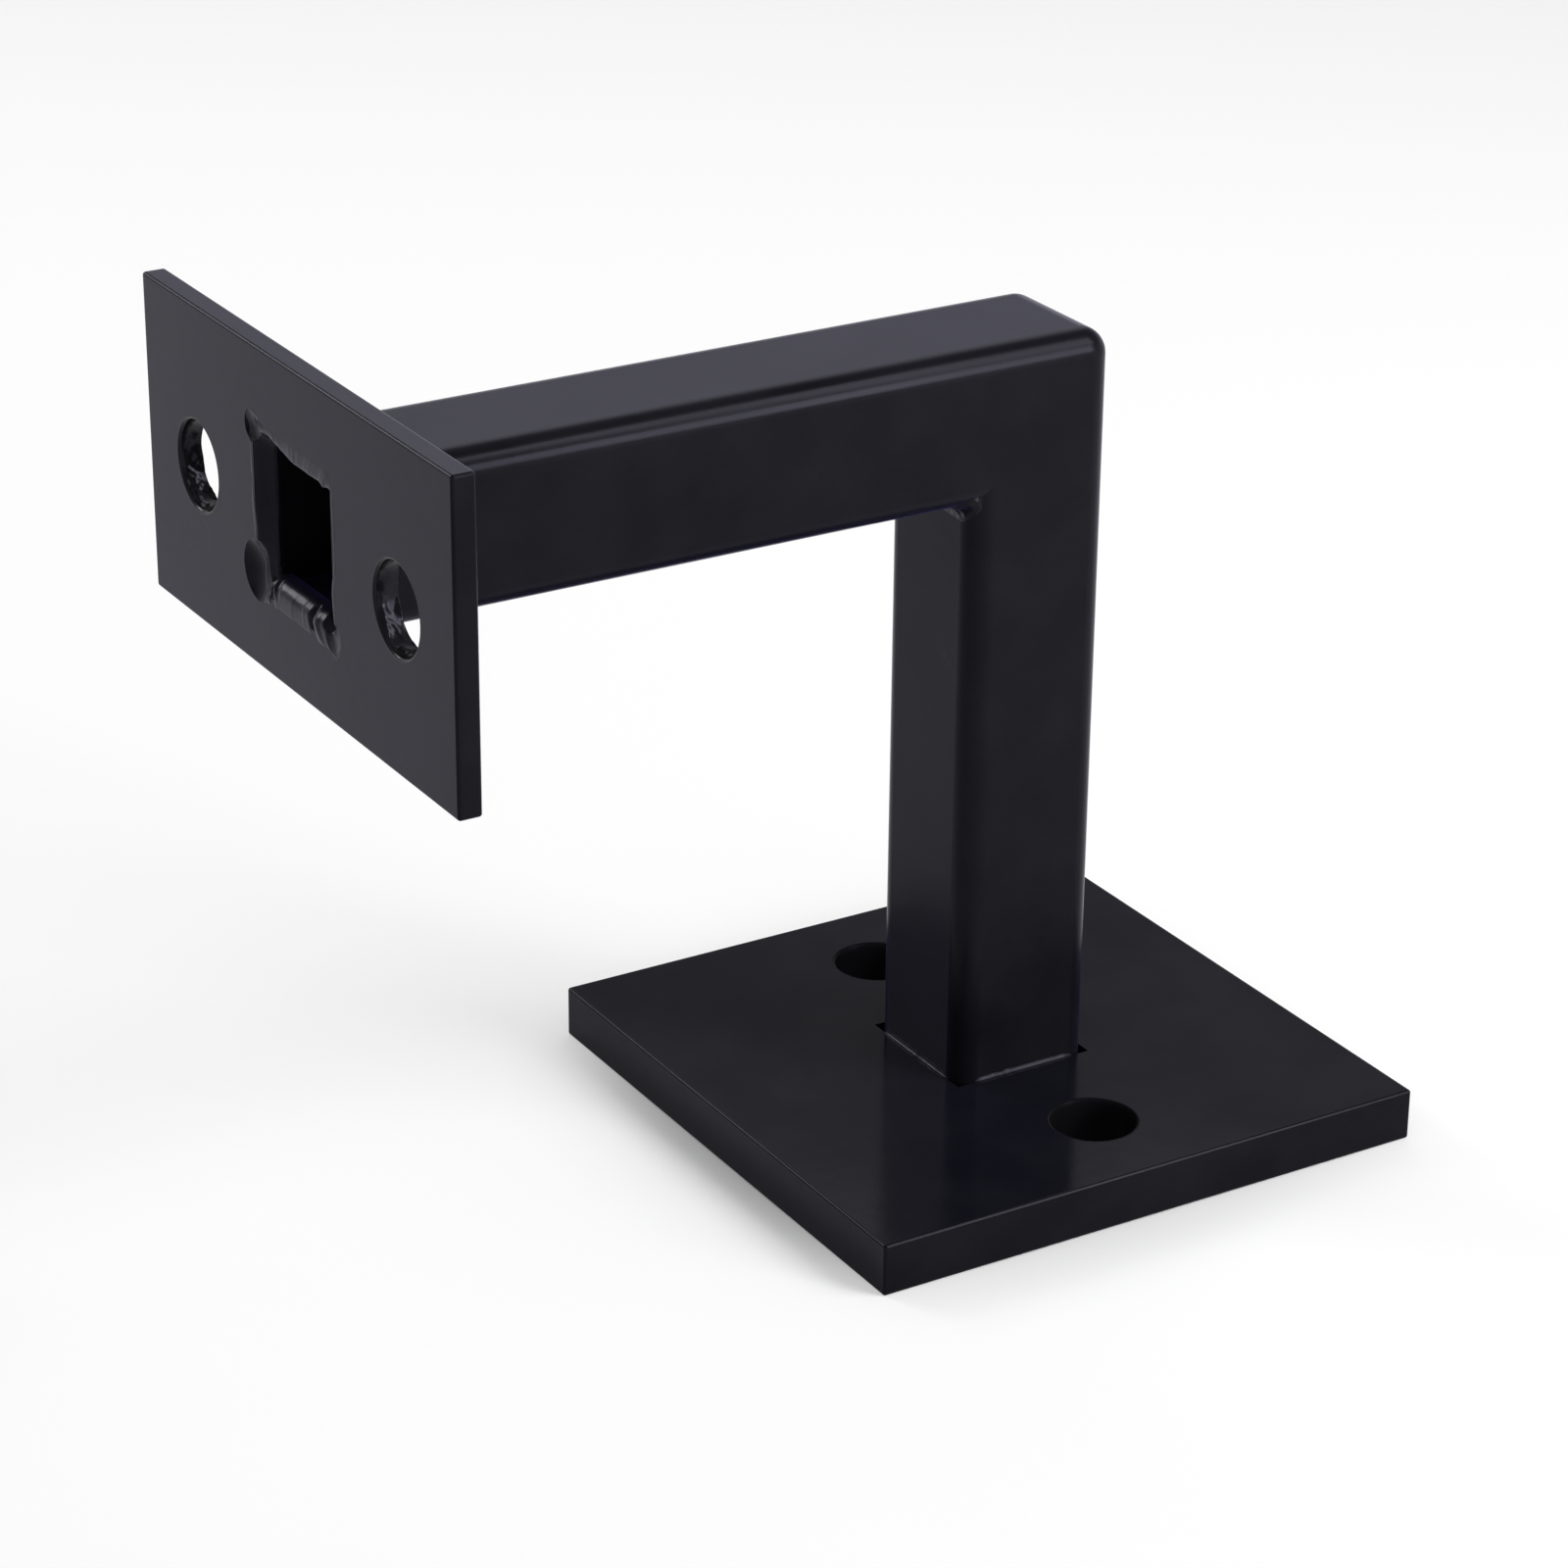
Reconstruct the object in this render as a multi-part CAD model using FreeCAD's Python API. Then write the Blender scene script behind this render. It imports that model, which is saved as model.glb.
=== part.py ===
import FreeCAD, Part
import os
from FreeCAD import Vector

# Handrail bracket. A square hollow section, notched and folded to a right angle,
# is welded into two laser-cut plates: a square base plate that is bolted down and
# an oblong rail plate that the handrail is screwed to.
#
# Millimetres, +Z up. The origin is the centre of the base plate's underside. The
# post rises along +Z, and the arm runs from the fold along -X to the rail plate.

# Folded tube
TUBE_WIDTH = 20.0
TUBE_WALL = 1.5
TUBE_EDGE_RADIUS = 2 * TUBE_WALL      # outside radius of a cold-formed section's long edges
FOLD_EASE = 0.5                       # the folded web's radius is this much more than an edge's
ARM_AXIS_HEIGHT = 96.0                # the arm's centre line above the base plate's underside

# Base plate
BASE_LENGTH = 80.0                    # along X
BASE_WIDTH = 80.0                     # along Y
BASE_THICKNESS = 7.0
BASE_HOLE_DIAMETER = 11.0
BASE_HOLE_SPACING = 52.0              # along Y, one hole each side of the post

# Rail plate
RAIL_FACE_REACH = 96.0                # its outer face from the post's centre line
RAIL_PLATE_LENGTH = 80.0              # along Y
RAIL_PLATE_HEIGHT = 40.0              # along Z
RAIL_PLATE_THICKNESS = 3.0
RAIL_HOLE_DIAMETER = 11.0
RAIL_HOLE_SPACING = 52.0              # along Y, one hole each side of the window

# Fits and finish
CUT_OUT_CLEARANCE = 0.1               # between the tube and a plate's cut-out, on each side
ARRIS_RADIUS = 0.4                    # rounding of the plates' outer edges and hole rims

# Welds. The tube stops short of each plate's outer face, and the weld fills the step.
BASE_TUBE_RECESS = 2.5
RAIL_TUBE_RECESS = 2.0
WELD_SETBACK = 0.4                    # the weld's lip below the plate's outer face
WELD_REACH = 1.3                      # how far the weld spreads from the cut-out's wall over the tube's end
WELD_CROWN = 0.2                      # how far its face bulges

# Corners of the rail plate's window that the arc has melted back into shallow bowls.
# Each is (side along Y, side along Z, centre inside the corner along Y and Z, radius at the face).
MELTED_CORNERS = (
    (1, 1, 0.0, 0.1, 2.0),
    (1, -1, 0.1, 2.3, 3.8),
    (-1, -1, 0.4, 0.9, 1.9),
)
MELT_DEPTH = 1.3

# Weld across the inside of the fold, where the two notched ends of the tube's inner wall meet
FOLD_WELD_LEG = 2.2
FOLD_WELD_DIP = 0.4                   # its face's middle from the corner, as a share of the leg
FOLD_WELD_LENGTH = 17.6               # stops just short of the tube's flat sides
FOLD_WELD_ROOT = 1.2                  # how far its blank runs into the corner before the tube is cut away
FOLD_WELD_END_RADIUS = 0.8

CUT_OUT_WIDTH = TUBE_WIDTH + 2 * CUT_OUT_CLEARANCE
OVERSHOOT = 1.0                       # how far a cutting tool runs past the face that it cuts


def line(start, end):
    return Part.LineSegment(start, end).toShape()


def folded_bar(width, edge_radius, fold_radius, rail_end, base_end):
    """Solid bar of rounded square section: an arm and a post with a sharp mitre inside the fold."""
    half = width / 2
    top, bottom = ARM_AXIS_HEIGHT + half, ARM_AXIS_HEIGHT - half
    arc_inset = fold_radius * (1 - 0.5 ** 0.5)
    arm_bottom_end = Vector(rail_end, -half, bottom)
    inside_corner = Vector(-half, -half, bottom)
    post_inner_end = Vector(-half, -half, base_end)
    post_outer_end = Vector(half, -half, base_end)
    fold_start = Vector(half, -half, top - fold_radius)
    fold_middle = Vector(half - arc_inset, -half, top - arc_inset)
    fold_end = Vector(half - fold_radius, -half, top)
    arm_top_end = Vector(rail_end, -half, top)
    side = Part.Wire([
        line(arm_bottom_end, inside_corner),
        line(inside_corner, post_inner_end),
        line(post_inner_end, post_outer_end),
        line(post_outer_end, fold_start),
        Part.Arc(fold_start, fold_middle, fold_end).toShape(),
        line(fold_end, arm_top_end),
        line(arm_top_end, arm_bottom_end),
    ])
    sharp_bar = Part.Face(side).extrude(Vector(0, width, 0))
    return sharp_bar.makeFillet(edge_radius, long_edges(sharp_bar, half, rail_end, base_end))


def long_edges(bar, half, rail_end, base_end):
    """The edges along a bar's two flat sides, without those round its two open ends."""
    found = []
    for edge in bar.Edges:
        box = edge.BoundBox
        on_a_side = box.YLength < 1e-6 and abs(abs(box.YMin) - half) < 1e-6
        at_rail_end = abs(box.XMax - rail_end) < 1e-6
        at_base_end = abs(box.ZMax - base_end) < 1e-6
        if on_a_side and not at_rail_end and not at_base_end:
            found.append(edge)
    return found


def tube_outside():
    """The folded tube as a solid bar, without its hollow."""
    return folded_bar(
        TUBE_WIDTH,
        TUBE_EDGE_RADIUS,
        TUBE_EDGE_RADIUS + FOLD_EASE,
        -RAIL_FACE_REACH + RAIL_TUBE_RECESS,
        BASE_TUBE_RECESS,
    )


def arm_tube():
    """Square hollow section folded once, with both of its ends open."""
    hollow = folded_bar(
        TUBE_WIDTH - 2 * TUBE_WALL,
        TUBE_EDGE_RADIUS - TUBE_WALL,
        TUBE_EDGE_RADIUS + FOLD_EASE - TUBE_WALL,
        -RAIL_FACE_REACH + RAIL_TUBE_RECESS - OVERSHOOT,
        BASE_TUBE_RECESS - OVERSHOOT,
    )
    return tube_outside().cut(hollow)


def drilled_plate(length, width, thickness, hole_diameter, hole_spacing):
    """Plate on the XY plane with a square cut-out for the tube and a bolt hole each side of it, along Y."""
    blank = Part.makeBox(length, width, thickness, Vector(-length / 2, -width / 2, 0))
    plate = blank.makeFillet(ARRIS_RADIUS, blank.Edges)
    for side in (-1, 1):
        plate = plate.cut(bolt_hole(hole_diameter, thickness, side * hole_spacing / 2))
    cut_out = Part.makeBox(
        CUT_OUT_WIDTH,
        CUT_OUT_WIDTH,
        thickness + 2 * OVERSHOOT,
        Vector(-CUT_OUT_WIDTH / 2, -CUT_OUT_WIDTH / 2, -OVERSHOOT),
    )
    return plate.cut(cut_out)


def bolt_hole(diameter, thickness, along_y):
    """Cutting tool for a hole whose two rims are countersunk by the width of the plate's arris."""
    radius = diameter / 2
    rim = radius + ARRIS_RADIUS
    bore = Part.makeCylinder(radius, thickness + 2 * OVERSHOOT, Vector(0, along_y, -OVERSHOOT))
    lower_rim = Part.makeCone(rim, radius, ARRIS_RADIUS, Vector(0, along_y, 0))
    upper_rim = Part.makeCone(radius, rim, ARRIS_RADIUS, Vector(0, along_y, thickness - ARRIS_RADIUS))
    return bore.fuse(lower_rim).fuse(upper_rim)


def base_plate():
    return drilled_plate(BASE_LENGTH, BASE_WIDTH, BASE_THICKNESS, BASE_HOLE_DIAMETER, BASE_HOLE_SPACING)


def rail_plate():
    """The same kind of plate stood on edge, with the window's melted corners."""
    flat = drilled_plate(
        RAIL_PLATE_HEIGHT,
        RAIL_PLATE_LENGTH,
        RAIL_PLATE_THICKNESS,
        RAIL_HOLE_DIAMETER,
        RAIL_HOLE_SPACING,
    )
    plate = stood_at_the_rail(flat)
    for side_y, side_z, inset_y, inset_z, radius in MELTED_CORNERS:
        along_y = side_y * (CUT_OUT_WIDTH / 2 - inset_y)
        along_z = side_z * (CUT_OUT_WIDTH / 2 - inset_z)
        plate = plate.cut(melted_bowl(along_y, along_z, radius))
    return plate


def melted_bowl(along_y, along_z, radius):
    """Ball whose cap sinks MELT_DEPTH into the rail plate's outer face and is radius wide there."""
    ball_radius = (radius ** 2 + MELT_DEPTH ** 2) / (2 * MELT_DEPTH)
    centre_x = -RAIL_FACE_REACH + MELT_DEPTH - ball_radius
    return Part.makeSphere(ball_radius, Vector(centre_x, along_y, ARM_AXIS_HEIGHT + along_z))


def stood_at_the_rail(flat):
    """Turns a shape that lies on the XY plane so that its underside is the rail plate's outer face."""
    stood = flat.copy()
    stood.rotate(Vector(0, 0, 0), Vector(0, 1, 0), 90)
    stood.translate(Vector(-RAIL_FACE_REACH, 0, ARM_AXIS_HEIGHT))
    return stood


def weld_ring(recess):
    """Weld in the step between a cut-out's wall and the tube's end, open towards -Z."""
    wall = CUT_OUT_WIDTH / 2
    lip = Vector(wall, 0, WELD_SETBACK)
    root = Vector(wall, 0, recess)
    toe = Vector(wall - WELD_REACH, 0, recess)
    out_of_face = Vector(-(recess - WELD_SETBACK), 0, -WELD_REACH).normalize()
    crown = (lip + toe) * 0.5 + out_of_face * WELD_CROWN
    section = Part.Wire([line(lip, root), line(root, toe), Part.Arc(toe, crown, lip).toShape()])
    run = Part.Face(section).translated(Vector(0, -wall, 0)).extrude(Vector(0, 2 * wall, 0))
    mitre = Part.Wire([
        line(Vector(0, 0, 0), Vector(wall, -wall, 0)),
        line(Vector(wall, -wall, 0), Vector(wall, wall, 0)),
        line(Vector(wall, wall, 0), Vector(0, 0, 0)),
    ])
    side = run.common(Part.Face(mitre).extrude(Vector(0, 0, recess)))
    ring = side
    for turn in (90, 180, 270):
        ring = ring.fuse(side.rotated(Vector(0, 0, 0), Vector(0, 0, 1), turn))
    return ring.removeSplitter()


def base_plate_weld():
    return weld_ring(BASE_TUBE_RECESS)


def rail_plate_weld():
    return stood_at_the_rail(weld_ring(RAIL_TUBE_RECESS))


def fold_weld():
    """Hollow-faced bead across the inside of the fold, cut back to the tube's surface."""
    corner = Vector(-TUBE_WIDTH / 2, -FOLD_WELD_LENGTH / 2, ARM_AXIS_HEIGHT - TUBE_WIDTH / 2)
    dip = FOLD_WELD_DIP * FOLD_WELD_LEG
    arm_toe = corner + Vector(-FOLD_WELD_LEG, 0, 0)
    post_toe = corner + Vector(0, 0, -FOLD_WELD_LEG)
    face_middle = corner + Vector(-dip, 0, -dip)
    inside_arm = arm_toe + Vector(0, 0, FOLD_WELD_ROOT)
    inside_corner = corner + Vector(FOLD_WELD_ROOT, 0, FOLD_WELD_ROOT)
    inside_post = post_toe + Vector(FOLD_WELD_ROOT, 0, 0)
    section = Part.Wire([
        Part.Arc(arm_toe, face_middle, post_toe).toShape(),
        line(post_toe, inside_post),
        line(inside_post, inside_corner),
        line(inside_corner, inside_arm),
        line(inside_arm, arm_toe),
    ])
    blank = Part.Face(section).extrude(Vector(0, FOLD_WELD_LENGTH, 0))
    face_ends = [edge for edge in blank.Edges if edge.Curve.TypeId == "Part::GeomCircle"]
    return blank.makeFillet(FOLD_WELD_END_RADIUS, face_ends).cut(tube_outside())


PIECES = {
    "base_plate": base_plate,
    "arm_tube": arm_tube,
    "rail_plate": rail_plate,
    "base_plate_weld": base_plate_weld,
    "rail_plate_weld": rail_plate_weld,
    "fold_weld": fold_weld,
}

os.makedirs("parts", exist_ok=True)
for name, make_piece in PIECES.items():
    piece = make_piece()
    piece.exportStep(f"parts/{name}.step")
    print(name, len(piece.Solids), "solid", round(piece.Volume), "mm3", "valid" if piece.isValid() else "NOT VALID")
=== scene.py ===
import math

import bpy
import numpy as np
from mathutils import Matrix, Vector


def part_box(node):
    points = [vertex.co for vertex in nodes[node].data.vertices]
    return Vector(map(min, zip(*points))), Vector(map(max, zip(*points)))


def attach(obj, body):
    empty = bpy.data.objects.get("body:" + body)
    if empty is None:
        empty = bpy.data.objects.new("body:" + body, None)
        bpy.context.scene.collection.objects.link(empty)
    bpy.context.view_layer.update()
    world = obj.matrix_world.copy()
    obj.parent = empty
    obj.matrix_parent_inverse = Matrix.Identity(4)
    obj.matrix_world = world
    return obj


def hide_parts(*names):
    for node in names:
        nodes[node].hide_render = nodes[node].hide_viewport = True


# Handrail bracket in a white studio. Metres, in the same frame as the CAD model: the origin
# is the centre of the base plate's underside, the post rises along +Z and the arm runs
# along -X to the rail plate. The plates and the tube are the CAD model's own. This script
# gives them their powder coat and makes what the welder and the coating line add: the
# beads, the fillets of coat in the corners and the rough skin inside the bolt holes.

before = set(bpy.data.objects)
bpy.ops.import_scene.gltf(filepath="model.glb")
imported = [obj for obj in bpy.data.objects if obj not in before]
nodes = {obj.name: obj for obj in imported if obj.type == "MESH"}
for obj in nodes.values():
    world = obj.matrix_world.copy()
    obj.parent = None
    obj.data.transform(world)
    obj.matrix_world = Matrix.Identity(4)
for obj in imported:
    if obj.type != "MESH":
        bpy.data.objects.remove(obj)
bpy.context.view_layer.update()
MM = 0.001

# ---------------------------------------------------------------------------
# Sizes in millimetres that the beads and the coat are fitted to
# ---------------------------------------------------------------------------


def node_box(name):
    """Lowest and highest corner of a CAD node, in millimetres."""
    return [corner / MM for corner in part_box(name)]


base_low, base_high = node_box("base_plate")
rail_low, rail_high = node_box("rail_plate")
tube_low, tube_high = node_box("arm_tube")

TUBE_HALF = tube_high.y
TUBE_EDGE_RADIUS = 3.0
CUT_OUT_CLEARANCE = 0.1               # between the tube and a plate's cut-out, on each side
CUT_OUT_HALF = TUBE_HALF + CUT_OUT_CLEARANCE
ARM_AXIS_HEIGHT = tube_high.z - TUBE_HALF
RAIL_FACE = rail_low.x
RAIL_BACK = rail_high.x
BASE_TOP = base_high.z
HOLE_RADIUS = 5.5
HOLE_RIM = 0.4                        # width and depth of the hole's chamfered rim
HOLE_ALONG_Y = 26.0                   # from the middle of a plate to each of its holes
BASE_TUBE_RECESS = tube_low.z
RAIL_TUBE_RECESS = tube_low.x - rail_low.x

# Bowls that the arc has melted into the corners of the rail plate's window:
# the centre along Y and Z from the window's middle, and the radius at the plate's face.
MELTED_BOWLS = ((10.1, 10.0, 2.0), (10.0, -7.8, 3.8), (-9.7, -9.2, 1.9))
MELT_DEPTH = 1.3

# ---------------------------------------------------------------------------
# Meshes
# ---------------------------------------------------------------------------


def shell_faces(points, count, around, full_circle):
    """Quads and end triangles of one shell of rings, turned so that they face outwards."""
    i = np.arange(count if full_circle else count - 1)
    i, j = (part.ravel() for part in np.meshgrid(i, np.arange(around), indexing="ij"))
    next_i, next_j = (i + 1) % count, (j + 1) % around
    quads = np.stack(
        [i * around + j, next_i * around + j, next_i * around + next_j, i * around + next_j],
        axis=1,
    )
    fans = np.empty((0, 3), int)
    if not full_circle:
        j = np.arange(around)
        last = (count - 1) * around
        first_pole, last_pole = count * around, count * around + 1
        start = np.stack([j, (j + 1) % around, np.full(around, first_pole)], axis=1)
        end = np.stack([last + (j + 1) % around, last + j, np.full(around, last_pole)], axis=1)
        fans = np.concatenate([start, end])
    triangles = np.concatenate([quads[:, [0, 1, 2]], quads[:, [0, 2, 3]], fans])
    a, b, c = (points[triangles[:, k]] for k in range(3))
    if np.einsum("ij,ij->i", a, np.cross(b, c)).sum() < 0:
        quads, fans = quads[:, ::-1], fans[:, ::-1]
    return quads.tolist() + fans.tolist()


def add_shells(name, shells, material, replaced=()):
    """One piece made of closed shells. A shell is an array (rings, around, 3) of points in
    millimetres, each ring closed on itself. Where the last ring repeats the first, the shell
    runs full circle. Otherwise a point at the middle of each end ring closes it."""
    all_points, all_faces = [], []
    first = 0
    for rings in shells:
        count, around = rings.shape[:2]
        full_circle = bool(np.allclose(rings[0], rings[-1]))
        if full_circle:
            rings, count = rings[:-1], count - 1
            points = rings.reshape(-1, 3)
        else:
            poles = np.stack([rings[0].mean(axis=0), rings[-1].mean(axis=0)])
            points = np.concatenate([rings.reshape(-1, 3), poles])
        faces = shell_faces(points, count, around, full_circle)
        all_points.append(points)
        all_faces += [[first + corner for corner in face] for face in faces]
        first += len(points)
    mesh = bpy.data.meshes.new(name)
    mesh.from_pydata((np.concatenate(all_points) * MM).tolist(), [], all_faces)
    mesh.shade_smooth()
    piece = bpy.data.objects.new(name, mesh)
    bpy.context.scene.collection.objects.link(piece)
    piece.data.materials.append(material)
    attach(piece, "root")
    if replaced:
        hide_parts(*replaced)


def smooth_loop(controls, count):
    """Closed smooth curve through control points (rows of any width), sampled at count places:
    between two controls a cubic whose slope at each is half the step between its neighbours."""
    controls = np.asarray(controls, float)
    place = np.arange(count) * len(controls) / count
    k = np.floor(place).astype(int)
    f = (place - k)[:, None]
    before, here, there, after = (controls[(k + step) % len(controls)] for step in (-1, 0, 1, 2))
    return 0.5 * (
        2 * here
        + (there - before) * f
        + (2 * before - 5 * here + 4 * there - after) * f ** 2
        + (3 * here - before - 3 * there + after) * f ** 3
    )


def rounded_square(half, radius, turn, straight_share=0.72):
    """Point on a rounded square at a share of the way round, clockwise from the start of its
    upper side. Each quarter is a straight side, then a quarter circle about the corner's centre."""
    quarter = np.floor(turn * 4).astype(int) % 4
    part = turn * 4 - np.floor(turn * 4)
    inner = half - radius
    along = np.clip(part / straight_share, 0, 1)
    angle = np.clip((part - straight_share) / (1 - straight_share), 0, 1) * np.pi / 2
    across = inner * (2 * along - 1) + radius * np.sin(angle)
    up = inner + radius * np.cos(angle)
    for _ in range(3):
        turned = quarter > 0
        across, up = np.where(turned, up, across), np.where(turned, -across, up)
        quarter = quarter - 1
    return across, up


def wander(turn, coarsest, finest, seed):
    """Smooth wavering along a closed path, mostly between -1 and 1: a sum of cosines that go
    round a whole number of times, from coarsest to finest, each from its own seeded start."""
    chance = np.random.default_rng(seed)
    times = np.arange(coarsest, finest + 1)
    start = chance.uniform(0, 2 * np.pi, len(times))
    weight = chance.uniform(0.4, 1.0, len(times))
    waves = weight * np.cos(2 * np.pi * np.multiply.outer(turn, times) + start)
    return waves.sum(axis=-1) / np.sqrt((weight ** 2).sum())


def lumps(turn, depth, finest_turns, finest_per_mm, seed, waves=40):
    """Uneven lumps on a rolled-out wall, mostly between -1 and 1: a sum of seeded cosines, each
    with a whole number of turns round the wall and its own pitch through the depth."""
    chance = np.random.default_rng(seed)
    times = chance.integers(2, finest_turns + 1, waves)
    pitch = chance.uniform(-finest_per_mm, finest_per_mm, waves)
    start = chance.uniform(0, 2 * np.pi, waves)
    phase = np.multiply.outer(turn, times) + np.multiply.outer(depth, pitch)
    return np.cos(2 * np.pi * phase + start).sum(axis=-1) / math.sqrt(waves / 2)


def near(y, z, place, width):
    """Bell round a place: 1 there, falling off with the square of the distance over width."""
    return np.exp(-((y - place[0]) ** 2 + (z - place[1]) ** 2) / width ** 2)


def ease(x, start, end):
    """0 before start, 1 after end, with a smooth step between them."""
    t = np.clip((x - start) / (end - start), 0, 1)
    return t * t * (3 - 2 * t)


# ---------------------------------------------------------------------------
# Welds round the cut-outs
# ---------------------------------------------------------------------------

# Sections of the bead, from its toe on the plate, over the lip and down to the tube's bore, and
# back through the metal. Each row is: distance outside the cut-out's wall, depth below the
# plate's outer face, and radius of the corner there. The lean one leaves a step, the flush one
# carries the plate's face on over the tube's end, and the heaped one slopes into the bore.
LEAN = (
    (1.15, 0.14, 2.4), (0.78, 0.01, 2.5), (0.38, -0.02, 2.8), (0.08, 0.03, 2.9),
    (-0.18, 0.20, 2.8), (-0.38, 0.50, 2.6), (-0.65, 0.95, 2.35), (-1.00, 1.40, 2.05),
    (-1.40, 1.80, 1.7), (-1.66, 2.20, 1.45), (-1.66, 2.90, 1.45), (-1.45, 3.20, 1.65),
    (-0.90, 2.80, 2.2), (0.10, 2.20, 3.2), (0.90, 1.40, 2.4), (1.15, 0.60, 2.3),
)
FLUSH = (
    (1.15, 0.14, 2.4), (0.78, 0.01, 2.5), (0.20, -0.03, 2.6), (-0.45, -0.03, 2.4),
    (-1.00, -0.01, 2.1), (-1.34, 0.07, 1.8), (-1.53, 0.26, 1.6), (-1.62, 0.65, 1.5),
    (-1.68, 1.30, 1.45), (-1.70, 2.20, 1.45),
) + LEAN[10:]
HEAPED = (
    (1.15, 0.14, 2.4), (0.78, 0.01, 2.5), (0.00, -0.03, 2.6), (-0.85, -0.03, 2.4),
    (-1.38, 0.03, 2.1), (-1.80, 0.26, 1.7), (-2.15, 0.60, 1.4), (-2.44, 1.00, 1.2),
    (-2.64, 1.55, 1.1), (-2.70, 2.40, 1.0), (-2.30, 3.10, 1.2), (-1.60, 3.30, 1.5),
) + LEAN[12:]
# The shares that each row takes of the melted bowls' depth, of the sags into the window, of the
# ripples in depth and of the spread over the plate.
ROW_SHARES = (
    (1.0, 0.2, 0.0, 1.0), (1.0, 0.5, 0.3, 0.85), (1.0, 0.8, 0.7, 0.5), (1.0, 1.0, 1.0, 0.15),
    (0.9, 1.0, 1.0, 0.0), (0.6, 1.0, 1.0, 0.0), (0.35, 0.9, 1.0, 0.0), (0.2, 0.7, 0.8, 0.0),
    (0.05, 0.5, 0.4, 0.0), (0.0, 0.2, 0.1, 0.0), (0.0, 0.0, 0.0, 0.0), (0.0, 0.0, 0.0, 0.0),
    (0.0, 0.0, 0.0, 0.0), (0.0, 0.0, 0.0, 0.0), (1.0, 0.0, 0.0, 1.0), (1.0, 0.0, 0.0, 1.0),
)
SECTION_POINTS = 64
RING_POINTS = 960


def bowl_depth(y, z):
    """How deep the melted bowls are below the plate's face: the deepest cap of a ball there."""
    deepest = np.zeros_like(y)
    for centre_y, centre_z, radius in MELTED_BOWLS:
        ball = (radius ** 2 + MELT_DEPTH ** 2) / (2 * MELT_DEPTH)
        flat = np.minimum((y - centre_y) ** 2 + (z - centre_z) ** 2, ball ** 2)
        deepest = np.maximum(deepest, MELT_DEPTH - ball + np.sqrt(ball ** 2 - flat))
    return deepest


def bead_ring(look, recess):
    """Rings of a bead that runs round a cut-out, as arrays across, up and into the plate. At each
    place round, the section is the lean one mixed with the flush and the heaped one by their
    shares. Its rows move inwards by the sag, outwards by the spread, and in depth by the ripple
    and by what is left of the melted bowls, each times the row's own share."""
    turn = np.linspace(0, 1, RING_POINTS + 1)[:, None]
    mid_y, mid_z = rounded_square(CUT_OUT_HALF, TUBE_EDGE_RADIUS, turn)
    flush, heaped = look.shares(mid_y, mid_z)
    lean, level, heap = (smooth_loop(rows, SECTION_POINTS)[None] for rows in (LEAN, FLUSH, HEAPED))
    section = (
        lean * (1 - flush - heaped)[..., None] + level * flush[..., None] + heap * heaped[..., None]
    )
    outside, depth, corner = (section[..., k] for k in range(3))
    row_shares = smooth_loop(ROW_SHARES, SECTION_POINTS).T[:, None]
    bowl_share, sag_share, ripple_share, spread_share = row_shares
    sag, spread = look.sag(turn, mid_y, mid_z), look.spread(mid_y, mid_z)
    outside = outside - sag * sag_share + spread * spread_share
    across, up = rounded_square(CUT_OUT_HALF + outside, corner, turn + 0 * outside)
    depth = depth * np.where(depth > 0, recess / RAIL_TUBE_RECESS, 1.0)
    depth = depth + look.ripple(turn, mid_y, mid_z, outside) * ripple_share
    return across, up, depth + bowl_share * look.hollows(across, up)


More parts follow.
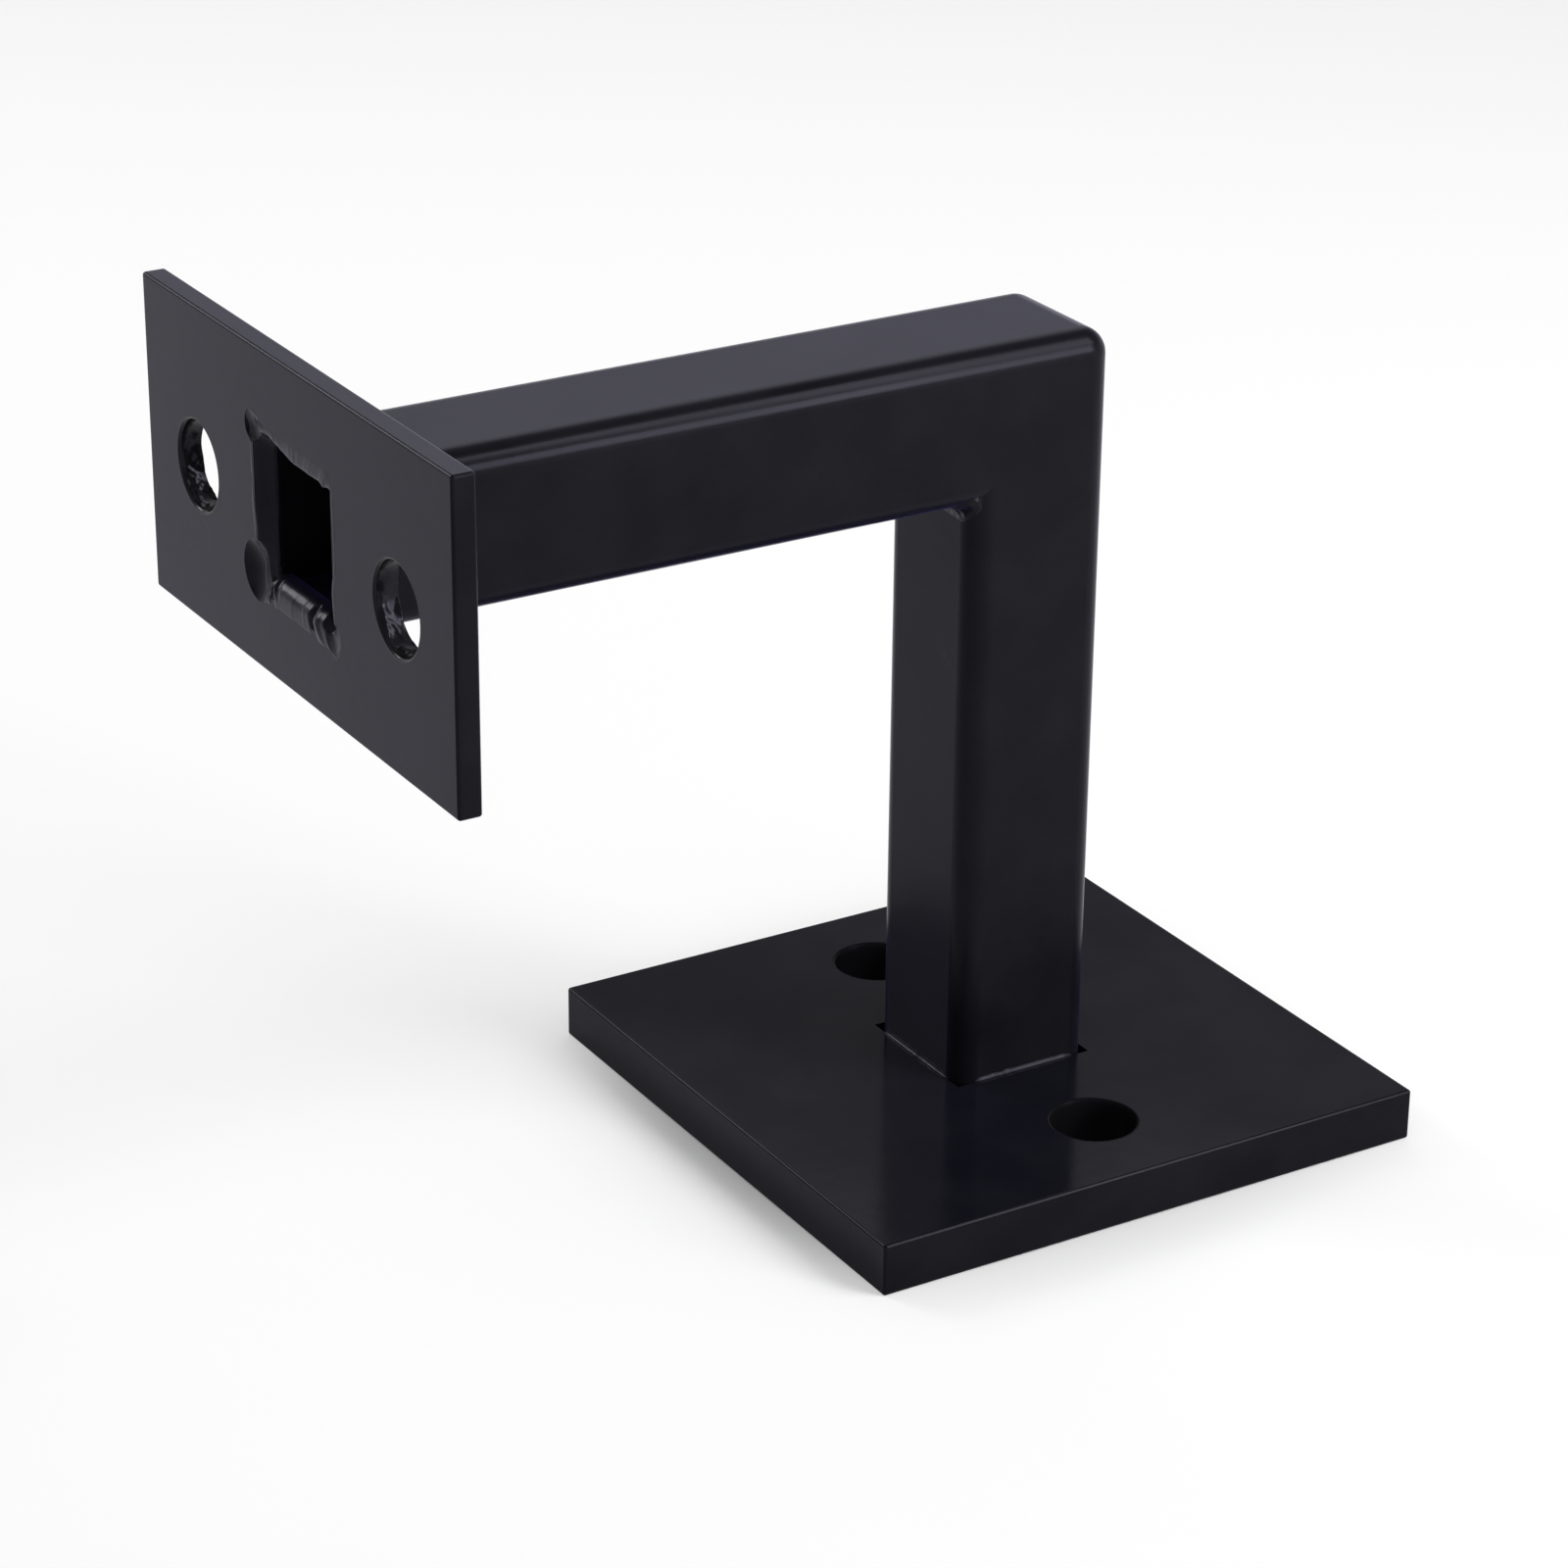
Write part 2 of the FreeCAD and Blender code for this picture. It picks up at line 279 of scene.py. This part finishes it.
class WindowBead:
    """How the bead in the rail plate's window was left. Places are across and up from the
    window's middle, where across is to the left."""

    LEFT_SAG = (10.1, -3.4)
    RIGHT_SAG = (-10.1, -4.6)
    RIGHT_BULGE = (-10.1, 2.5)
    UPPER_LEFT_RUN = (9.2, 9.2)
    LOWER_RIGHT_RUN = (-9.2, -9.2)
    SLANTED_LINES = (6.9, 0)
    SLANTED_PITCH = 1.7
    NOTCH = (-4.2, 0)
    LUMP = (-5.6, 0)
    UPPER_LUMP = (7.8, 10.1)

    @staticmethod
    def shares(y, z):
        """Flush along the upper side towards the right, heaped along the lower side."""
        flush = ease(z, 8.4, 9.6) * (1 - ease(y, -1.0, 8.0))
        heaped = ease(-z, 8.4, 9.6) * ease(y, -9.4, -7.2) * (1 - ease(y, 7.0, 9.0))
        return flush, heaped

    @staticmethod
    def sag(turn, y, z):
        """Inwards low on both upright sides, outwards above the middle of the right one, and a
        little either way all round, less so on the upper side."""
        left = 0.45 * near(y, z, WindowBead.LEFT_SAG, 2.6)
        bulge = 0.30 * near(y, z, WindowBead.RIGHT_BULGE, 3.5)
        right = 0.55 * near(y, z, WindowBead.RIGHT_SAG, 2.6) - bulge
        return left + right + (0.05 - 0.03 * ease(z, 6.0, 9.0)) * wander(turn, 7, 22, 3)

    @staticmethod
    def spread(y, z):
        """Outwards over the bowls at the upper left and the lower right corner."""
        upper_left = 1.7 * near(y, z, WindowBead.UPPER_LEFT_RUN, 1.9)
        return upper_left + 1.5 * near(y, z, WindowBead.LOWER_RIGHT_RUN, 1.9)

    @staticmethod
    def ripple(turn, y, z, outside):
        """Two slanted freeze lines at the left of the lower side, a notch and a lump at its right,
        a lump beside the upper left corner, and a fine unevenness all round."""
        low = ease(-z, 8.0, 9.4)
        lines = WindowBead.SLANTED_LINES
        past = y - lines[0] + 0.7 * (outside + 1.5)
        wave = np.cos(2 * np.pi * past / WindowBead.SLANTED_PITCH)
        slanted = 0.24 * wave * near(y, 0, lines, 1.4)
        notch = 0.5 * near(y, 0, WindowBead.NOTCH, 0.38)
        lump = -0.15 * near(y, 0, WindowBead.LUMP, 0.8)
        upper = -0.10 * near(y, z, WindowBead.UPPER_LUMP, 1.1)
        uneven = 0.007 * wander(turn, 30, 80, 5) + 0.018 * wander(turn + 0.003 * outside, 6, 24, 6)
        return (slanted + notch + lump) * low + upper + uneven

    @staticmethod
    def hollows(y, z):
        """The melted bowls, less where the bead has run over them."""
        upper_left = (0.45 + 0.3 * ease(z, 9.0, 11.5)) * ease(z, 4.0, 6.0) * ease(y, 4.0, 6.0)
        lower_right = 0.75 * ease(-z, 4.0, 6.0) * ease(-y, 4.0, 6.0)
        return bowl_depth(y, z) * (1 - upper_left - lower_right)


class FootBead:
    """How the bead under the base plate was left: even, with close freeze lines."""

    FLUSH_SHARE = 0.3
    PITCH = 1.15

    @staticmethod
    def shares(y, z):
        """Partly flush all round, and heaped nowhere."""
        return FootBead.FLUSH_SHARE + 0 * y, 0 * y

    @staticmethod
    def sag(turn, y, z):
        """A little either way all round."""
        return 0.07 * wander(turn, 6, 26, 11)

    @staticmethod
    def spread(y, z):
        """Nowhere outwards."""
        return 0 * y

    @staticmethod
    def ripple(turn, y, z, outside):
        """Freeze lines about a pitch apart, curved back across the bead, and a slow unevenness."""
        lines = round(8 * CUT_OUT_HALF / FootBead.PITCH)
        chevron = np.cos(2 * np.pi * lines * turn + 2.2 * (outside + 0.4) ** 2)
        return 0.04 * chevron + 0.03 * wander(turn, 5, 30, 12)

    @staticmethod
    def hollows(y, z):
        """None: nothing has melted under the base plate."""
        return 0 * y


def add_window_weld(material):
    """The bead in the rail plate's window: rings of its section round a rounded square,
    stood on edge in the plate."""
    y, z, depth = bead_ring(WindowBead, RAIL_TUBE_RECESS)
    rings = np.stack([RAIL_FACE + depth, y, ARM_AXIS_HEIGHT + z], axis=-1)
    add_shells("window_weld", [rings], material, ["rail_plate_weld"])


def add_foot_weld(material):
    """The bead under the base plate: rings of its section round a rounded square, lying flat."""
    x, y, depth = bead_ring(FootBead, BASE_TUBE_RECESS)
    rings = np.stack([x, y, depth + 0 * x], axis=-1)
    add_shells("foot_weld", [rings], material, ["base_plate_weld"])


# ---------------------------------------------------------------------------
# Weld inside the fold
# ---------------------------------------------------------------------------

FOLD_BEAD_LEG = 2.2
FOLD_BEAD_END_LEG = 0.5
FOLD_BEAD_HALF_LENGTH = 9.6
FOLD_BEAD_FOLLOWS = 0.5               # share of the tube's rounding that its ends follow
FOLD_BEAD_PITCH = 1.3
FOLD_BEAD_DEPTH_IN_TUBE = 0.7
FOLD_BEAD_ROOT_FOLLOWS = 0.6          # share of the tube's rounding that its root goes deeper by
FOLD_BEAD_HOLLOW = 0.78               # 1 for a full quarter circle, 0 for a flat face
FOLD_BEAD_SQUARE_END = 14             # the higher, the more suddenly its legs shrink at the ends
FOLD_BEAD_WAVER = 0.06                # share of its leg
FOLD_BEAD_RIPPLE = 0.05
BACK_SHARE = 0.9                      # share of a leg where a bead's or a fillet's back begins
WAVER_SPAN = 40.0                     # a straight run's waver repeats after this length


def add_fold_bead(material):
    """The hollow-faced bead across the inside of the fold: at each place along Y a section whose
    face is a quarter circle drawn inwards between a toe under the arm and a toe on the post. Its
    corner follows the tube's rounded edges, and its legs shrink to a stop at both ends."""
    along = np.linspace(-FOLD_BEAD_HALF_LENGTH, FOLD_BEAD_HALF_LENGTH, 260)[:, None]
    past_flat = np.clip(np.abs(along) - (TUBE_HALF - TUBE_EDGE_RADIUS), 0, TUBE_EDGE_RADIUS - 0.01)
    recess = TUBE_EDGE_RADIUS - np.sqrt(TUBE_EDGE_RADIUS ** 2 - past_flat ** 2)
    to_end = np.clip(np.abs(along) / FOLD_BEAD_HALF_LENGTH, 0, 1)
    full = np.sqrt(1 - to_end ** FOLD_BEAD_SQUARE_END)
    leg = FOLD_BEAD_END_LEG + (FOLD_BEAD_LEG - FOLD_BEAD_END_LEG) * full
    leg = leg * (1 + FOLD_BEAD_WAVER * wander(along / WAVER_SPAN, 3, 14, 21))
    angle = np.linspace(0, np.pi / 2, 22)[None, :]
    hollow = FOLD_BEAD_HOLLOW
    straight = angle / (np.pi / 2)
    out_x = leg * (hollow * (1 - np.sin(angle)) + (1 - hollow) * (1 - straight))
    out_z = leg * (hollow * (1 - np.cos(angle)) + (1 - hollow) * straight)
    freeze = np.cos(2 * np.pi * along / FOLD_BEAD_PITCH + 2.5 * np.sin(2 * angle))
    rise = FOLD_BEAD_RIPPLE * freeze * np.sin(2 * angle)
    out_x, out_z = out_x + rise, out_z + rise
    inside = FOLD_BEAD_DEPTH_IN_TUBE + recess * FOLD_BEAD_ROOT_FOLLOWS
    root, edge = -inside + 0 * leg, leg * BACK_SHARE
    back_x = np.concatenate([root, root, edge], axis=1)
    back_z = np.concatenate([edge, root, root], axis=1)
    out_x = np.concatenate([out_x, back_x], axis=1)
    out_z = np.concatenate([out_z, back_z], axis=1)
    x = -TUBE_HALF + FOLD_BEAD_FOLLOWS * recess - out_x
    z = ARM_AXIS_HEIGHT - TUBE_HALF + FOLD_BEAD_FOLLOWS * recess - out_z
    rings = np.stack([x, along + 0 * x, z], axis=-1)
    add_shells("fold_bead", [rings], material, ["fold_weld"])


# ---------------------------------------------------------------------------
# Fillets of coat where the tube leaves a plate
# ---------------------------------------------------------------------------

COAT_FILLET_LEG = 0.55
COAT_FILLET_HALF_LENGTH = 7.5
COAT_FILLET_END_SHARE = 0.12          # share of its leg that is left at its ends
COAT_FILLET_SQUARE_END = 8
COAT_FILLET_WAVER = 0.10              # share of its leg
COAT_FILLET_SINK = 0.2                # how far its back lies in the tube and in the plate
COAT_FILLET_BACK_OUT = 0.05           # the middle of its back, out of the tube's face
COAT_FILLET_BACK_UP = 0.8             # share of its leg where its back meets the tube


def fillet_sections(seed):
    """Rings of one straight fillet of coat as arrays (along, out of the tube's face, away from the
    plate): the face is a quarter circle drawn inwards between the tube and the plate. Its legs
    waver a little and run out at both ends."""
    along = np.linspace(-COAT_FILLET_HALF_LENGTH, COAT_FILLET_HALF_LENGTH, 120)[:, None]
    to_end = np.abs(along) / COAT_FILLET_HALF_LENGTH
    full = np.sqrt(1 - np.clip(to_end, 0, 1) ** COAT_FILLET_SQUARE_END)
    leg = COAT_FILLET_LEG * (COAT_FILLET_END_SHARE + (1 - COAT_FILLET_END_SHARE) * full)
    leg = leg * (1 + COAT_FILLET_WAVER * wander(along / WAVER_SPAN, 3, 22, seed))
    angle = np.linspace(0, np.pi / 2, 12)[None, :]
    sunk = -COAT_FILLET_SINK + 0 * leg
    out_back = [leg * BACK_SHARE, COAT_FILLET_BACK_OUT + 0 * leg, sunk]
    away_back = [sunk, 2 * sunk, leg * COAT_FILLET_BACK_UP]
    out = np.concatenate([leg * (1 - np.cos(angle))] + out_back, axis=1)
    away = np.concatenate([leg * (1 - np.sin(angle))] + away_back, axis=1)
    return along + 0 * out, out, away


def add_coat_fillets(name, material, place):
    """Four fillets, one along each flat of the tube. place turns a point's two places across
    the tube and its height above the plate into X, Y and Z."""
    shells = []
    for side in range(4):
        along, out, away = fillet_sections(31 + side)
        across, up = along, TUBE_HALF + out
        for _ in range(side):
            across, up = up, -across
        shells.append(np.stack(place(across, up, away), axis=-1))
    add_shells(name, shells, material)


def on_base_plate(across, up, away):
    """Round the post: across along X, up along Y, and away from the plate along Z."""
    return across, up, BASE_TOP + away


def behind_rail_plate(across, up, away):
    """Round the arm: across along Y, up along Z, and away from the plate along X."""
    return RAIL_BACK + away, across, ARM_AXIS_HEIGHT + up


# ---------------------------------------------------------------------------
# Rough coat inside the bolt holes
# ---------------------------------------------------------------------------

LINING_MEAN = 0.10
LINING_LUMP = 0.12
LINING_GRIT = 0.02
LINING_ROOT = 0.15                    # how far its back lies inside the plate
LINING_PROUD = 0.012                  # and how far its rim stands out of the face
LINING_THINNEST = 0.015
LINING_ON_RIM = 0.004
LINING_THICKENS = (0.15, 0.8)         # depths between which the skin grows to its full thickness
LINING_SHORT = 0.06                   # how far before the back face it ends
LINING_CALM = 0.75                    # share of the lumps that is missing from the hole's top
LINING_CALM_BAND = 0.35               # sine of the angle within which they fade
LINING_POINTS = 361
LINING_RIM_RINGS = 10
LINING_FEWEST_RINGS = 30
LINING_RINGS_PER_MM = 8


def hole_lining(thickness, seed, lumpy):
    """Rings of the coat inside one hole as arrays (across, up, depth): round the hole, a quarter
    circle over the chamfered rim at the outer face, then the bore moved inwards by a lumpy
    thickness, rougher low down than at the top, and straight on over the rim at the back."""
    turn = np.linspace(0, 1, LINING_POINTS)[:, None]
    angle = 2 * np.pi * turn
    over_rim = np.linspace(0, np.pi / 2, LINING_RIM_RINGS)
    rim_depth = HOLE_RIM * (1 - np.cos(over_rim)) - LINING_PROUD
    rings = max(LINING_FEWEST_RINGS, int(thickness * LINING_RINGS_PER_MM))
    down = np.linspace(HOLE_RIM, thickness - LINING_SHORT, rings)[1:]
    depth = np.concatenate([[LINING_ROOT / 2], rim_depth, down])[None, :]
    rim_wall = HOLE_RADIUS + HOLE_RIM * (1 - np.sin(over_rim))
    wall = np.concatenate([[rim_wall[0] + LINING_ROOT], rim_wall, HOLE_RADIUS + 0 * down])[None, :]
    coarse = lumps(turn, depth, 8, 0.45, seed)
    fine = lumps(turn, depth, 40, 1.2, seed + 1)
    calm = LINING_CALM * ease(np.sin(angle), -LINING_CALM_BAND, LINING_CALM_BAND)
    rough = lumpy * (1 - calm)
    skin = LINING_MEAN + rough * (LINING_LUMP * coarse + LINING_GRIT * fine)
    skin = np.clip(skin, LINING_THINNEST, None)
    skin = skin * ease(depth, *LINING_THICKENS) + LINING_ON_RIM
    back_wall = np.maximum(wall, HOLE_RADIUS + HOLE_RIM) + LINING_ROOT
    radius = np.concatenate([wall - skin, back_wall[:, 1:][:, ::-1] + 0 * turn], axis=1)
    depth = np.concatenate([depth, np.maximum(depth, LINING_ROOT)[:, 1:][:, ::-1]], axis=1)
    return radius * np.cos(angle), radius * np.sin(angle), depth + 0 * radius


def add_hole_linings(rail_material, base_material):
    """The four holes' linings: two through the rail plate and two through the base plate."""
    shells = []
    for side, seed in ((-1, 51), (1, 53)):
        y, z, depth = hole_lining(RAIL_BACK - RAIL_FACE, seed, lumpy=1.0)
        y = y + side * HOLE_ALONG_Y
        shells.append(np.stack([RAIL_FACE + depth, y, ARM_AXIS_HEIGHT + z], axis=-1))
    add_shells("rail_hole_linings", shells, rail_material)
    shells = []
    for side, seed in ((-1, 55), (1, 57)):
        x, y, depth = hole_lining(BASE_TOP, seed, lumpy=0.25)
        y = y + side * HOLE_ALONG_Y
        shells.append(np.stack([x, y, BASE_TOP - depth], axis=-1))
    add_shells("base_hole_linings", shells, base_material)


# ---------------------------------------------------------------------------
# Finishes
# ---------------------------------------------------------------------------

COAT_SHADE = (0.0045, 0.0045, 0.0056)
COAT_TINT = (0.80, 0.78, 1.0, 1.0)
SHEEN_TINT = (0.30, 0.25, 1.0, 1.0)
SHEEN_ROUGHNESS = 0.4
SHADE_SPREAD = (0.7, 1.35)            # darkest and lightest patches, as shares of the shade
ROUGHNESS_SPREAD = 0.03
MOTTLE_SCALE = 90.0
SHEEN_PATCH_SCALE = 45.0


def new_material(name):
    """An empty material and its node tree."""
    material = bpy.data.materials.new(name)
    material.use_nodes = True
    material.node_tree.nodes.clear()
    return material, material.node_tree


def node(tree, kind, inputs=None, **settings):
    """One node with its settings; each input is a plain value or another node's output."""
    made = tree.nodes.new(kind)
    for key, value in settings.items():
        setattr(made, key, value)
    for key, value in (inputs or {}).items():
        if isinstance(value, bpy.types.NodeSocket):
            tree.links.new(value, made.inputs[key])
        else:
            made.inputs[key].default_value = value
    return made


def noise(tree, place, scale, detail):
    """Cloudy noise between 0 and 1."""
    inputs = {"Vector": place, "Scale": scale, "Detail": detail}
    return node(tree, "ShaderNodeTexNoise", inputs).outputs["Fac"]


def smooth_ramp(tree, value, start, end, low, high):
    """low before start, high after end, with a smooth step between them."""
    inputs = {"Value": value, "From Min": start, "From Max": end, "To Min": low, "To Max": high}
    ramp = node(tree, "ShaderNodeMapRange", inputs, interpolation_type="SMOOTHSTEP")
    return ramp.outputs["Result"]


def combine(tree, operation, first, second):
    """Sum, product or larger of two values, kept between 0 and 1."""
    inputs = {0: first, 1: second}
    return node(tree, "ShaderNodeMath", inputs, operation=operation, use_clamp=True).outputs[0]


def powder_coat(
    name, roughness, ior, specular, peel_height=0.00001, peel_scale=420.0, sheen=0.08
):
    """Black powder coat: a mottled shade, an uneven sheen and the fine orange peel of baked
    powder."""
    material, tree = new_material(name)
    place = node(tree, "ShaderNodeTexCoord").outputs["Object"]
    mottle = noise(tree, place, MOTTLE_SCALE, 4.0)
    sheen_patches = noise(tree, place, SHEEN_PATCH_SCALE, 5.0)
    peel = noise(tree, place, peel_scale, 1.0)
    shade = node(
        tree,
        "ShaderNodeVectorMath",
        {0: COAT_SHADE, "Scale": smooth_ramp(tree, mottle, 0.2, 0.8, *SHADE_SPREAD)},
        operation="SCALE",
    ).outputs["Vector"]
    bump = node(tree, "ShaderNodeBump", {"Height": peel, "Strength": 1.0, "Distance": peel_height})
    smooth, dull = roughness - ROUGHNESS_SPREAD, roughness + ROUGHNESS_SPREAD
    shader = node(
        tree,
        "ShaderNodeBsdfPrincipled",
        {
            "Base Color": shade,
            "Roughness": smooth_ramp(tree, sheen_patches, 0.2, 0.8, smooth, dull),
            "IOR": ior,
            "Specular IOR Level": specular,
            "Specular Tint": COAT_TINT,
            "Sheen Weight": sheen,
            "Sheen Roughness": SHEEN_ROUGHNESS,
            "Sheen Tint": SHEEN_TINT,
            "Normal": bump.outputs["Normal"],
        },
    )
    node(tree, "ShaderNodeOutputMaterial", {"Surface": shader.outputs[0]})
    return material


def paint(node_name, material):
    """Gives every material slot of a CAD node the finish."""
    for each in nodes[node_name].material_slots:
        each.material = material


# ---------------------------------------------------------------------------
# Camera and studio
# ---------------------------------------------------------------------------

CAMERA_AZIMUTH = math.radians(-31.22)
CAMERA_ELEVATION = math.radians(24.23)
CAMERA_ROLL = math.radians(-0.56)
CAMERA_DISTANCE = 0.60434
CAMERA_LENS_MM = 105.2
CAMERA_SENSOR_MM = 36.0
AIM_RIGHT = -0.02578                  # the aim point from the origin, along the view's right
AIM_DOWN = -0.03967                   # and along its down


def camera_axes():
    """Unit vectors of the camera: to its right, up and back, rolled about its own axis."""
    sin_a, cos_a = math.sin(CAMERA_AZIMUTH), math.cos(CAMERA_AZIMUTH)
    sin_e, cos_e = math.sin(CAMERA_ELEVATION), math.cos(CAMERA_ELEVATION)
    back = Vector((sin_a * cos_e, -cos_a * cos_e, sin_e))
    level_right = Vector((cos_a, sin_a, 0.0))
    level_down = (-back).cross(level_right)
    cos_r, sin_r = math.cos(CAMERA_ROLL), math.sin(CAMERA_ROLL)
    right = cos_r * level_right + sin_r * level_down
    down = cos_r * level_down - sin_r * level_right
    return right, -down, back


def add_camera():
    """The camera, looking at the aim point from its distance."""
    right, up, back = camera_axes()
    target = right * AIM_RIGHT - up * AIM_DOWN
    data = bpy.data.cameras.new("camera")
    data.lens = CAMERA_LENS_MM
    data.sensor_width = CAMERA_SENSOR_MM
    data.clip_start = 0.01
    data.clip_end = 50.0
    camera = bpy.data.objects.new("camera", data)
    rotation = Matrix((right, up, back)).transposed()
    camera.matrix_world = Matrix.Translation(target + back * CAMERA_DISTANCE) @ rotation.to_4x4()
    bpy.context.scene.collection.objects.link(camera)
    bpy.context.scene.camera = camera


FLOOR_SIZE = 12.0
FLOOR_SHADE = 0.95                    # how much of the lamps' light the floor gives back
FLOOR_WHITE_NEAR = 0.5                # share of plain white in the floor that the camera sees near the object
UNDER_PLATE = 0.038                   # under the base plate there is no white at all
CLEAR_OF_PLATE = 0.065
FLOOR_FADE_START = 0.35               # from here out the floor fades to plain white
FLOOR_FADE_END = 1.1
WORLD_SHADE = 0.36
HORIZON_GLOW_TOP = math.radians(20.0)


def add_floor():
    """A flat square at the base plate's underside."""
    half = FLOOR_SIZE / 2
    corners = [(-half, -half, 0.0), (half, -half, 0.0), (half, half, 0.0), (-half, half, 0.0)]
    mesh = bpy.data.meshes.new("floor")
    mesh.from_pydata(corners, [], [(0, 1, 2, 3)])
    floor = bpy.data.objects.new("floor", mesh)
    bpy.context.scene.collection.objects.link(floor)
    floor.data.materials.append(floor_paper())


def floor_paper():
    """Pale paper that takes a shadow near the object and is plain white further out. The camera
    sees a share of that white near the object too, though not under the base plate."""
    material, tree = new_material("floor_paper")
    place = node(tree, "ShaderNodeTexCoord").outputs["Object"]
    distance = node(tree, "ShaderNodeVectorMath", {0: place}, operation="LENGTH").outputs["Value"]
    far = smooth_ramp(tree, distance, FLOOR_FADE_START, FLOOR_FADE_END, 0.0, 1.0)
    close = smooth_ramp(tree, distance, UNDER_PLATE, CLEAR_OF_PLATE, 0.0, FLOOR_WHITE_NEAR)
    path = node(tree, "ShaderNodeLightPath").outputs
    seen_close = combine(tree, "MULTIPLY", path["Is Camera Ray"], close)
    share = combine(tree, "MAXIMUM", far, seen_close)
    seen = combine(tree, "ADD", path["Is Camera Ray"], path["Is Glossy Ray"])
    seen = combine(tree, "ADD", seen, path["Is Transmission Ray"])
    share = combine(tree, "MULTIPLY", share, seen)
    pale = (FLOOR_SHADE, FLOOR_SHADE, FLOOR_SHADE, 1.0)
    paper = node(tree, "ShaderNodeBsdfDiffuse", {"Color": pale})
    white = node(tree, "ShaderNodeEmission", {"Color": (1.0, 1.0, 1.0, 1.0), "Strength": 1.0})
    mixed = node(tree, "ShaderNodeMixShader", {0: share, 1: paper.outputs[0], 2: white.outputs[0]})
    node(tree, "ShaderNodeOutputMaterial", {"Surface": mixed.outputs[0]})
    return material


def add_world():
    """White round the horizon, dimmer overhead."""
    world = bpy.data.worlds.new("studio")
    world.use_nodes = True
    world.node_tree.nodes.clear()
    tree = world.node_tree
    direction = node(tree, "ShaderNodeTexCoord").outputs["Generated"]
    height = node(tree, "ShaderNodeSeparateXYZ", {0: direction}).outputs["Z"]
    glow_low, glow_high = math.sin(HORIZON_GLOW_TOP * 0.5), math.sin(HORIZON_GLOW_TOP)
    shade = smooth_ramp(tree, height, glow_low, glow_high, 1.0, WORLD_SHADE)
    light = node(tree, "ShaderNodeBackground", {"Color": (1.0, 1.0, 1.0, 1.0), "Strength": shade})
    node(tree, "ShaderNodeOutputWorld", {"Surface": light.outputs[0]})
    bpy.context.scene.world = world


def add_softbox(name, place, aim, width, height, shine):
    """A rectangular lamp whose face has the given shine, where 1 is as bright as white paper."""
    data = bpy.data.lights.new(name, "AREA")
    data.shape = "RECTANGLE"
    data.size = width
    data.size_y = height
    data.energy = shine * math.pi * width * height
    lamp = bpy.data.objects.new(name, data)
    turn = (Vector(aim) - Vector(place)).to_track_quat("-Z", "Y")
    lamp.matrix_world = Matrix.Translation(place) @ turn.to_matrix().to_4x4()
    bpy.context.scene.collection.objects.link(lamp)


SOFTBOXES = (
    # name, place, aim, width, height, shine
    ("overhead_softbox", (-0.3, 0.0, 1.1), (0.0, 0.0, 0.05), 0.7, 0.7, 0.3),
    ("right_softbox", (0.45, -0.80, 0.31), (0.0, 0.0, 0.1), 0.3, 0.42, 13.0),
    ("upper_right_softbox", (0.45, -0.465, 0.70), (0.0, 0.0, 0.1), 0.3, 0.5, 8.5),
    ("back_left_softbox", (-0.45, 0.78, 0.55), (0.0, 0.0, 0.1), 0.3, 0.3, 9.0),
    ("back_softbox", (0.22, 0.42, 0.47), (0.0, 0.0, 0.1), 0.45, 0.3, 1.05),
)


def add_studio():
    """Floor, world and lamps, with colours shown as they are."""
    add_floor()
    add_world()
    for softbox in SOFTBOXES:
        add_softbox(*softbox)
    bpy.context.scene.view_settings.view_transform = "Standard"


# ---------------------------------------------------------------------------

add_camera()
add_studio()

tube_coat = powder_coat("tube_coat", 0.25, 1.24, 0.28)
base_coat = powder_coat("base_coat", 0.16, 1.48, 0.075, sheen=0.035)
weld_coat = powder_coat("weld_coat", 0.25, 1.25, 0.38, peel_height=0.00002, peel_scale=300.0)
rough_coat = powder_coat(
    "rough_coat", 0.22, 1.28, 0.42, peel_height=0.00002, peel_scale=300.0, sheen=0.0
)
hole_coat = powder_coat("hole_coat", 0.35, 1.4, 0.03, sheen=0.0)

paint("base_plate", base_coat)
paint("arm_tube", tube_coat)
paint("rail_plate", tube_coat)
for weld in ("base_plate_weld", "rail_plate_weld", "fold_weld"):
    paint(weld, weld_coat)

add_window_weld(weld_coat)
add_foot_weld(weld_coat)
add_fold_bead(tube_coat)
add_coat_fillets("foot_coat", weld_coat, on_base_plate)
add_coat_fillets("arm_coat", weld_coat, behind_rail_plate)
add_hole_linings(rough_coat, hole_coat)
